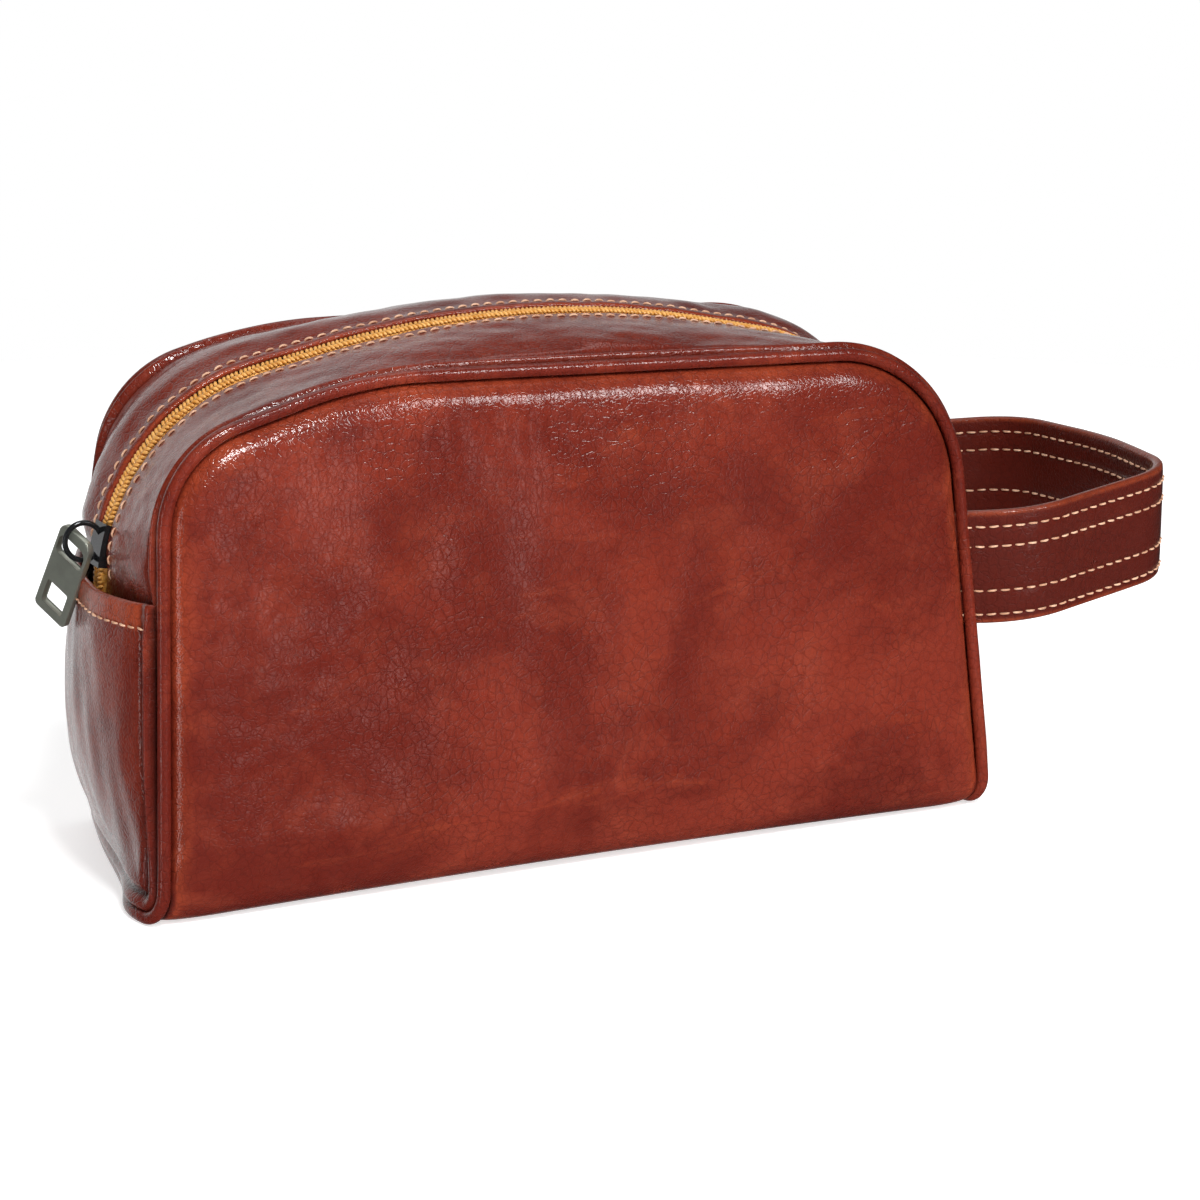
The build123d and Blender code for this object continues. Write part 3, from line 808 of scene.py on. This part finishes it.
def coil(end, name, node):
    """One row of zip ribs: a rounded, slanted bar for each turn of the coil."""
    place, normal = zip_frame(COIL_STEP)
    tangent = np.gradient(place, axis=0)
    tangent /= np.linalg.norm(tangent, axis=1)[:, None]
    f = np.linspace(0, 1, 6)
    a = np.linspace(0, 2 * math.pi, 6, endpoint=False)
    across = 0.15 + 2.75 * f
    rise = -1.62 + 0.62 * np.sin(np.pi * (0.12 + 0.76 * f))
    radius = COIL_BAR_RADIUS * np.array([0.55, 0.95, 1.0, 1.0, 0.9, 0.5])
    cross = np.array([0.0, float(end), 0.0])
    points, faces = [], []
    for i in range(int((len(place) - 1) * COIL_STEP / COIL_PITCH)):
        k = min(len(place) - 1, int((i + 0.5 + 0.25 * end) * COIL_PITCH / COIL_STEP))
        p, n, t = place[k], normal[k], tangent[k]
        centre = p + n * rise[:, None] + cross * across[:, None] + t * (f - 0.5)[:, None]
        turn = np.cos(a)[None, :, None] * n + np.sin(a)[None, :, None] * t
        add_tube(points, faces, centre[:, None] + radius[:, None, None] * turn)
    ribs = make(name, np.concatenate(points), faces, slot="zip_coil")
    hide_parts(node)
    return ribs


def coil_core(end, name):
    """The closed band under a row of ribs."""
    place, normal = zip_frame(COIL_STEP)
    across = np.array([0.12, 0.6, 1.4, 2.2, 2.7, 2.9, 2.9])
    rise = np.array([-2.0, -1.75, -1.6, -1.75, -2.1, -2.6, -3.3])
    points = place[::4][:, None] + normal[::4][:, None] * rise[None, :, None]
    return grid(name, points + sideways(end * across), flip=end > 0, slot="zip_coil")


def strap_route():
    """The strap's middle line from above, outward directions, heights, sway and lift."""
    line = rounded(*STRAP_PLAN, STRAP_STEP)
    run = np.arange(len(line)) * STRAP_STEP
    out = left_normals(line) * -1
    out *= np.sign((out[:, 0] * (line[:, 0] - line[:, 0].mean())).sum())
    height = STRAP_MIDDLE + math.tan(STRAP_RISE) * (line[:, 0] - STRAP_ROOT_X)
    return line, out, height, 0.35 * waves(run, 0 * run, 46, 31), 0.25 * waves(run, 0 * run, 60, 33)


def on_strap(route, offset, up):
    """Points of the strap: a row for each place on its route, a column for each offset and height."""
    line, out, height, sway, lift = route
    away = offset[None] + sway[:, None]
    x = line[:, 0][:, None] + out[:, 0][:, None] * away
    y = line[:, 1][:, None] + out[:, 1][:, None] * away
    z = height[:, None] + up[None] + lift[:, None]
    return np.stack([x, y, z], -1)


def strap_section():
    """The strap's cross-section, (offset, height): two faces, turned edges, a dent under each thread."""
    flat = STRAP_HALF_WIDTH - STRAP_EDGE
    face = [(STRAP_HALF_THICKNESS * (1 - 0.15 * abs(q) ** 8), q * flat) for q in np.linspace(-1, 1, 41)]
    turns = np.linspace(0.25, math.pi - 0.25, 7)
    edge = [(STRAP_HALF_THICKNESS * 0.85 * math.cos(a), flat + STRAP_EDGE * math.sin(a)) for a in turns]
    other = [(-o, h) for o, h in face[::-1]]
    low = [(-o, -h) for o, h in edge]
    ring = np.array(face + edge + other + low)
    dents = sum(bump(ring[:, 1], at, 0.7) for at in STRAP_ROWS)
    on_face = np.abs(ring[:, 1]) < STRAP_HALF_WIDTH - 1
    ring[:, 0] -= np.sign(ring[:, 0]) * 0.28 * dents * on_face
    return ring


def strap_threads(route):
    """The rows of stitches on both faces of the strap."""
    out = route[1]
    rows = []
    for number, up in enumerate(STRAP_ROWS):
        for face, word in ((1, "out"), (-1, "in")):
            offset = np.array([face * (STRAP_HALF_THICKNESS - 0.25)])
            path = on_strap(route, offset, np.array([up]))[:, 0]
            normal = np.stack([out[:, 0] * face, out[:, 1] * face, 0 * out[:, 0]], 1)
            name = f"strap_thread_{number}_{word}"
            rows.append(stitch_row(name, path[3:-3], normal[3:-3], body=None))
    return rows


def strap():
    """The strap loop: one closed band with turned edges, and its threads."""
    route, ring = strap_route(), strap_section()
    points = on_strap(route, ring[:, 0], ring[:, 1])
    rows, cols = points.shape[:2]
    faces = grid_faces(rows, cols, wrap_cols=True)
    faces.append(tuple(range(cols)))
    faces.append(tuple(range((rows - 1) * cols, rows * cols))[::-1])
    piece = make("strap_loop", points.reshape(-1, 3), faces, slot="strap_leather", body=None)
    wear = smooth(np.abs(ring[:, 1]), STRAP_HALF_WIDTH - 2.4, STRAP_HALF_WIDTH - 0.4) * 0.9
    attribute(piece, "wear", np.repeat(wear[None], rows, 0))
    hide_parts("strap_outer", "strap_inner", "strap_ends_outer", "strap_ends_inner")
    threads = strap_threads(route)
    for item in [piece] + threads:
        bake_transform(item)
    return piece, threads


def board():
    """The stiff sheet in the base."""
    gx, gy = np.meshgrid(np.linspace(-106, 112, 24), np.linspace(-40, 40, 12), indexing="ij")
    piece = grid("board_sheet", np.stack([gx, gy, BOARD_TOP + 0 * gx], -1), slot="board")
    thicken(piece, BOARD)
    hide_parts("base_board")
    return piece


# ---------------------------------------------------------------- materials

def srgb(r, g, b):
    def lin(c):
        c = c / 255
        return c / 12.92 if c <= 0.04045 else ((c + 0.055) / 1.055) ** 2.4
    return (lin(r), lin(g), lin(b), 1)


class Nodes:
    """A material's node tree, with short calls for the nodes used here."""

    def __init__(self, name):
        self.material = bpy.data.materials.new(name)
        self.material.use_nodes = True
        self.tree = self.material.node_tree
        self.shader = next(n for n in self.tree.nodes if n.type == "BSDF_PRINCIPLED")

    def add(self, kind, links=None, **settings):
        node = self.tree.nodes.new(kind)
        for key, value in settings.items():
            setattr(node, key, value)
        for key, value in (links or {}).items():
            self.put(node, key, value)
        return node

    def put(self, node, key, value):
        socket = node.inputs[key]
        if isinstance(value, bpy.types.NodeSocket):
            self.tree.links.new(value, socket)
        else:
            socket.default_value = value

    def coords(self, scale=(1000, 1000, 1000), turn=(0, 0, 0)):
        """Object coordinates in millimetres, or stretched and turned."""
        source = self.add("ShaderNodeTexCoord").outputs["Object"]
        links = {"Vector": source, "Scale": scale, "Rotation": turn}
        return self.add("ShaderNodeMapping", links).outputs[0]

    def noise(self, where, scale, detail=4.0, rough=0.55, warp=0.0):
        links = {"Vector": where, "Scale": scale, "Detail": detail, "Roughness": rough, "Distortion": warp}
        return self.add("ShaderNodeTexNoise", links).outputs["Fac"]

    def cells(self, where, scale):
        """Distance to the nearest edge of a cell."""
        links = {"Vector": where, "Scale": scale}
        return self.add("ShaderNodeTexVoronoi", links, feature="DISTANCE_TO_EDGE").outputs["Distance"]

    def ramp(self, value, low, high, a=0.0, b=1.0):
        links = {"Value": value, "From Min": low, "From Max": high, "To Min": a, "To Max": b}
        return self.add("ShaderNodeMapRange", links, interpolation_type="SMOOTHSTEP").outputs[0]

    def mix(self, amount, a, b, blend="MIX"):
        node = self.add("ShaderNodeMix", data_type="RGBA", blend_type=blend)
        for key, value in ((0, amount), (6, a), (7, b)):
            self.put(node, key, value)
        return node.outputs[2]

    def math(self, kind, a, b=0.0, c=0.0):
        node = self.add("ShaderNodeMath", operation=kind)
        for i, value in enumerate((a, b, c)):
            self.put(node, i, value)
        return node.outputs[0]

    def bump(self, height, distance, strength=1.0, normal=None):
        links = {"Height": height, "Distance": distance, "Strength": strength}
        if normal is not None:
            links["Normal"] = normal
        return self.add("ShaderNodeBump", links).outputs[0]

    def named(self, name):
        return self.add("ShaderNodeAttribute", attribute_name=name).outputs["Fac"]


DARK = srgb(92, 27, 18)
MID = srgb(117, 41, 27)
WARM = srgb(134, 55, 36)
ORANGE = srgb(164, 70, 40)
CRACK = srgb(62, 15, 10)
SEAM_SHADE = srgb(28, 8, 6)
UMBER = srgb(44, 22, 18)


def dye(m, where, blotch, fine, cracks, orange, dark, deepen):
    """The leather's colour: mottled browns, worn orange edges, dark cracks, and painted shade in seam
    grooves, creases and under the hem's fold.
    """
    clouds = m.noise(where, 0.0135, 5.0, 0.62, 0.8)
    streaks = m.noise(m.coords((300, 900, 1100), (0.2, 0.72, 0.3)), 0.05, 7.0, 0.72, 0.9)
    colour = m.mix(m.ramp(clouds, 0.40 - dark, 0.60 - dark), DARK, MID)
    colour = m.mix(m.ramp(blotch, 0.44 - orange, 0.74 - orange, 0.0, 0.45), colour, WARM)
    colour = m.mix(m.ramp(streaks, 0.56 - orange, 0.78 - orange, 0.0, 0.36), colour, ORANGE)
    edges = m.math("MULTIPLY", m.named("wear"), 0.85)
    worn = m.math("MULTIPLY_ADD", m.ramp(blotch, 0.3, 0.7), 0.22, edges)
    colour = m.mix(m.ramp(worn, 0.25, 0.95, 0.0, 0.8), colour, ORANGE)
    colour = m.mix(m.ramp(fine, 0.35, 0.7, 0.0, 0.35), colour, DARK)
    cracked = m.ramp(cracks, 0.0, 0.09, 1.0, 0.0)
    colour = m.mix(m.math("MULTIPLY", cracked, 0.28), colour, CRACK)
    # Painted shade: seam grooves, creases and the hem's underside darkened towards near black.
    colour = m.mix(m.named("painted_seam_shade"), colour, SEAM_SHADE)
    return m.mix(deepen, colour, UMBER)


def grain_height(m, where, bent, fine, cracks):
    """Height of the leather's grain: pebbles, fine noise, pores, and cracks that are deeper in places."""
    zone = m.ramp(m.noise(where, 0.03, 3.0), 0.42, 0.62)
    pebbles = m.ramp(m.cells(bent, 0.72), 0.0, 0.16)
    grain = m.math("MULTIPLY_ADD", pebbles, 0.55, m.math("MULTIPLY", fine, 0.5))
    depth = m.math("MULTIPLY_ADD", zone, 0.8, 0.35)
    grain = m.math("ADD", grain, m.math("MULTIPLY", m.ramp(cracks, 0.0, 0.10), depth))
    return m.math("MULTIPLY_ADD", m.noise(where, 1.9, 3.0, 0.6), 0.3, grain)


def leather(name, orange=0.0, dark=0.0, deepen=0.0):
    """Glossy waxed leather under a clear coat. orange, dark and deepen shift its colour."""
    m = Nodes(name)
    where = m.coords()
    warp = m.add("ShaderNodeTexNoise", {"Vector": where, "Scale": 0.22, "Detail": 3.0})
    shifted = m.add("ShaderNodeVectorMath", operation="MULTIPLY_ADD")
    m.tree.links.new(warp.outputs["Color"], shifted.inputs[0])
    shifted.inputs[1].default_value = (2.6, 2.6, 2.6)
    m.tree.links.new(where, shifted.inputs[2])
    bent = shifted.outputs[0]
    blotch = m.noise(where, 0.055, 6.0, 0.66, 0.4)
    fine = m.noise(where, 0.42, 6.0, 0.7)
    cracks = m.cells(bent, 0.36)
    m.put(m.shader, "Base Color", dye(m, where, blotch, fine, cracks, orange, dark, deepen))
    height = grain_height(m, where, bent, fine, cracks)
    m.put(m.shader, "Normal", m.bump(height, 0.00022, 0.6))
    m.put(m.shader, "Roughness", m.ramp(m.noise(where, 0.09, 6.0, 0.7), 0.3, 0.75, 0.26, 0.44))
    m.put(m.shader, "Specular IOR Level", 0.08)
    m.put(m.shader, "Coat Weight", 0.85)
    m.put(m.shader, "Coat Roughness", 0.10)
    m.put(m.shader, "Coat IOR", 1.42)
    waxy = m.math("ADD", m.math("MULTIPLY", height, 0.8), m.math("MULTIPLY", blotch, 1.6))
    m.put(m.shader, "Coat Normal", m.bump(waxy, 0.00014, 0.35))
    return m.material


def thread():
    """Waxed sewing thread with a twist."""
    m = Nodes("waxed_thread")
    where = m.coords()
    tone = m.noise(where, 0.35, 4.0)
    colour = m.mix(m.ramp(tone, 0.35, 0.65), srgb(186, 136, 106), srgb(222, 178, 148))
    m.put(m.shader, "Base Color", colour)
    m.put(m.shader, "Normal", m.bump(m.noise(where, 3.2, 3.0), 0.00018, 0.6))
    m.put(m.shader, "Roughness", m.ramp(tone, 0.3, 0.7, 0.42, 0.6))
    return m.material


def coil_plastic():
    """The zip's ochre plastic."""
    m = Nodes("zip_coil_ochre")
    where = m.coords()
    tone = m.noise(where, 0.6, 4.0)
    m.put(m.shader, "Base Color", m.mix(m.ramp(tone, 0.3, 0.7), srgb(206, 140, 58), srgb(232, 176, 98)))
    m.put(m.shader, "Normal", m.bump(m.noise(where, 3.0, 2.0), 0.00008, 0.4))
    m.put(m.shader, "Roughness", m.ramp(tone, 0.3, 0.7, 0.30, 0.42))
    return m.material


def textile(name, a, b, scale=1.6):
    """A weave of two colours with fibres."""
    m = Nodes(name)
    where = m.coords()
    links = {"Vector": where, "Scale": scale, "Distortion": 1.5}
    wave = m.add("ShaderNodeTexWave", links, bands_direction="DIAGONAL").outputs["Fac"]
    fibre = m.noise(where, 2.0, 5.0)
    m.put(m.shader, "Base Color", m.mix(m.math("MULTIPLY", wave, fibre), a, b))
    m.put(m.shader, "Normal", m.bump(m.math("MULTIPLY_ADD", fibre, 0.6, wave), 0.0002, 0.6))
    m.put(m.shader, "Roughness", m.ramp(fibre, 0.3, 0.7, 0.7, 0.9))
    m.put(m.shader, "Sheen Weight", 0.2)
    return m.material


def metal(name, colour, low, high, grain=0.00002, solid=1.0):
    """Metal with smudges, from roughness low to high."""
    m = Nodes(name)
    where = m.coords()
    smudge = m.noise(where, 0.25, 6.0, 0.65)
    dull = tuple(c * 0.7 for c in colour[:3]) + (1,)
    m.put(m.shader, "Base Color", m.mix(m.ramp(smudge, 0.3, 0.7, 0.0, 0.35), colour, dull))
    m.put(m.shader, "Metallic", solid)
    m.put(m.shader, "Roughness", m.ramp(smudge, 0.3, 0.75, low, high))
    m.put(m.shader, "Normal", m.bump(m.noise(where, 3.5, 4.0), grain, 0.4))
    return m.material


# ---------------------------------------------------------------- scene

def softbox(name, place, width, height, power):
    """An area light that faces the bag and that the camera doesn't see."""
    data = bpy.data.lights.new(name, "AREA")
    data.shape = "RECTANGLE"
    data.size, data.size_y = width, height
    data.energy = power
    lamp = bpy.data.objects.new(name, data)
    bpy.context.scene.collection.objects.link(lamp)
    lamp.location = place
    lamp.visible_camera = False
    facing = Vector(LIGHT_TARGET) - lamp.location
    lamp.rotation_euler = facing.to_track_quat("-Z", "Y").to_euler()
    return lamp


def camera():
    data = bpy.data.cameras.new("view")
    data.lens = CAMERA_LENS
    data.sensor_width = 36
    data.clip_start = 0.01
    view = bpy.data.objects.new("view", data)
    bpy.context.scene.collection.objects.link(view)
    right = Vector(CAMERA_RIGHT).normalized()
    forward = Vector(CAMERA_FORWARD).normalized()
    up = right.cross(forward)
    turn = Matrix((right, up, -forward)).transposed().to_4x4()
    view.matrix_world = Matrix.Translation(CAMERA_PLACE) @ turn
    bpy.context.scene.camera = view


def backdrop():
    """A round pale floor."""
    mesh = bpy.data.meshes.new("floor")
    turns = np.linspace(0, 2 * math.pi, 64, endpoint=False)
    ring = [(FLOOR_RADIUS * math.cos(a), FLOOR_RADIUS * math.sin(a), 0) for a in turns]
    mesh.from_pydata(ring, [], [tuple(range(len(ring)))])
    floor = bpy.data.objects.new("floor", mesh)
    bpy.context.scene.collection.objects.link(floor)
    m = Nodes("pale_floor")
    tone = m.mix(m.noise(m.coords(), 0.004), (0.92, 0.92, 0.92, 1), (0.95, 0.95, 0.95, 1))
    m.put(m.shader, "Base Color", tone)
    m.put(m.shader, "Roughness", 0.8)
    m.put(m.shader, "Emission Color", (1, 1, 1, 1))
    m.put(m.shader, "Emission Strength", 0.62)
    floor.data.materials.append(m.material)
    floor.visible_glossy = False


def world():
    """White to the camera; as light, a pale backdrop behind the bag that fades to a dim room in front."""
    w = bpy.data.worlds.new("studio")
    bpy.context.scene.world = w
    w.use_nodes = True
    tree = w.node_tree
    back = tree.nodes["Background"]
    back.inputs[0].default_value = (1, 1, 1, 1)
    where = tree.nodes.new("ShaderNodeTexCoord")
    split = tree.nodes.new("ShaderNodeSeparateXYZ")
    fade = tree.nodes.new("ShaderNodeMapRange")
    fade.interpolation_type = "SMOOTHSTEP"
    for key, value in (("From Min", 0.60), ("From Max", 1.0), ("To Min", 0.03), ("To Max", 0.85)):
        fade.inputs[key].default_value = value
    tree.links.new(where.outputs["Generated"], split.inputs[0])
    tree.links.new(split.outputs["Y"], fade.inputs["Value"])
    tree.links.new(fade.outputs[0], back.inputs[1])
    seen = tree.nodes.new("ShaderNodeBackground")
    seen.inputs[0].default_value = (1, 1, 1, 1)
    seen.inputs[1].default_value = 1.0
    path = tree.nodes.new("ShaderNodeLightPath")
    mix = tree.nodes.new("ShaderNodeMixShader")
    tree.links.new(path.outputs["Is Camera Ray"], mix.inputs[0])
    tree.links.new(back.outputs[0], mix.inputs[1])
    tree.links.new(seen.outputs[0], mix.inputs[2])
    tree.links.new(mix.outputs[0], tree.nodes["World Output"].inputs[0])


def lights():
    for name, place, width, height, power in SOFTBOXES:
        softbox(name, place, width, height, power)
    bpy.data.objects["front_fill"].visible_glossy = False


def flat_loop(curve, corners, radii):
    """A closed outline with rounded corners, as one spline of a flat curve."""
    first = [(np.array(corners[0]) + np.array(corners[-1])) / 2]
    line = rounded(first + [np.array(c, float) for c in corners] + first, radii, 0.15)[:-1]
    spline = curve.splines.new("POLY")
    spline.points.add(len(line) - 1)
    for point, (a, b) in zip(spline.points, line):
        point.co = (a * MM, b * MM, 0, 1)
    spline.use_cyclic_u = True


def opening(half_width, top, bottom):
    """Corners of an opening in the puller, widened by the bevel that narrows it again."""
    x, high, low = half_width + PULLER_BEVEL, top + PULLER_BEVEL, bottom - PULLER_BEVEL
    return [(-x, high), (x, high), (x, low), (-x, low)]


def puller_outline():
    """The puller as a bevelled flat curve: a tapered plate with a slot for the bail and a window."""
    curve = bpy.data.curves.new("pull_tab_outline", "CURVE")
    curve.dimensions = "2D"
    curve.fill_mode = "BOTH"
    curve.extrude = (1.0 - PULLER_BEVEL) * MM
    curve.bevel_depth = PULLER_BEVEL * MM
    curve.bevel_resolution = 3
    head, foot = 2.2 - PULLER_BEVEL, -25.9 + PULLER_BEVEL
    low_x = 6.25 - PULLER_BEVEL
    flat_loop(curve, [(-5.6, head), (5.6, head), (low_x, foot), (-low_x, foot)], [2.4, 2.4, 1.3, 1.3])
    flat_loop(curve, opening(4.7, -1.2, -6.4), [2.2, 2.2, 1.2, 1.2])
    flat_loop(curve, opening(3.7, -16.4, -22.8), [0.6, 0.6, 0.6, 0.6])
    return curve


def puller():
    """The pull tab, hanging from the bail."""
    holder = bpy.data.objects.new("pull_tab_outline", puller_outline())
    bpy.context.scene.collection.objects.link(holder)
    down = Vector(PULLER_DOWN).normalized()
    across = Vector(PULLER_ACROSS)
    across = (across - down * across.dot(down)).normalized()
    out = across.cross(-down)
    turn = Matrix((across, -down, out)).transposed().to_4x4()
    bpy.context.view_layer.update()
    mesh = bpy.data.meshes.new_from_object(holder)
    bpy.data.objects.remove(holder)
    mesh.transform(Matrix.Translation(PULLER_PIVOT) @ turn)
    mesh.shade_smooth()
    mesh.set_sharp_from_angle(angle=math.radians(40))
    piece = bpy.data.objects.new("pull_tab", mesh)
    bpy.context.scene.collection.objects.link(piece)
    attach(piece, "puller")
    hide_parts("puller")
    return piece


def dress(name, material):
    """Give a CAD node its material."""
    paint(frame["nodes"][name], material)


def build_top(hide, yarn, ochre, webbing, cloth):
    """Both top strips, with their threads, tapes, coils and cloth."""
    for end, word in ((-1, "front"), (1, "back")):
        piece, skin, normal = strip(end, f"top_strip_{word}", f"zip_strip_{word}")
        paint(piece, hide)
        paint(strip_stitches(end, skin, normal, f"strip_thread_{word}"), yarn)
        paint(tape(end, f"tape_{word}", f"zip_tape_{word}"), webbing)
        paint(coil(end, f"coil_ribs_{word}", f"zip_coil_{word}"), ochre)
        paint(coil_core(end, f"coil_ribs_{word}_core"), ochre)
        paint(inner_top(end, f"inner_top_cloth_{word}", f"lining_top_{word}"), cloth)


def build_ends(hide, yarn, cloth):
    """Both end panels, with their hem threads and cloth."""
    for side, word in ((-1, "left"), (1, "right")):
        piece, threads = gusset(side, f"end_panel_{word}", f"gusset_{word}")
        paint(piece, hide)
        paint(threads, yarn)
        paint(inner_gusset(side, f"inner_end_cloth_{word}", f"gusset_lining_{word}"), cloth)


def build():
    hide = leather("body_hide")
    yarn = thread()
    ochre = coil_plastic()
    webbing = textile("zip_tape_ochre", srgb(170, 104, 40), srgb(206, 142, 66))
    cloth = textile("lining_weave", srgb(60, 44, 34), srgb(92, 70, 54), 1.2)
    nickel = metal("black_nickel", (0.045, 0.047, 0.050, 1), 0.10, 0.18, solid=0.75)
    satin = metal("satin_gunmetal", (0.36, 0.375, 0.32, 1), 0.32, 0.40, grain=0.000005, solid=0.72)

    paint(body_wall(), hide)
    paint(body_inner(), cloth)
    bead, core = piping()
    paint(bead, leather("piping_hide", dark=-0.03))
    paint(core, textile("piping_string", srgb(200, 190, 170), srgb(222, 214, 196), 1.0))
    build_top(hide, yarn, ochre, webbing, cloth)
    build_ends(hide, yarn, cloth)
    loop, threads = strap()
    paint(loop, leather("strap_hide", orange=-0.12, dark=-0.22, deepen=0.36))
    for row in threads:
        paint(row, yarn)
    paint(board(), textile("board_fibre", srgb(120, 96, 70), srgb(150, 124, 94), 0.4))
    paint(puller(), satin)
    dress("slider_body", nickel)
    dress("slider_bail", nickel)
    dress("zip_top_stops", ochre)
    dress("zip_end_stop", ochre)


bpy.context.scene.view_settings.view_transform = "Standard"
camera()
world()
lights()
backdrop()
build()
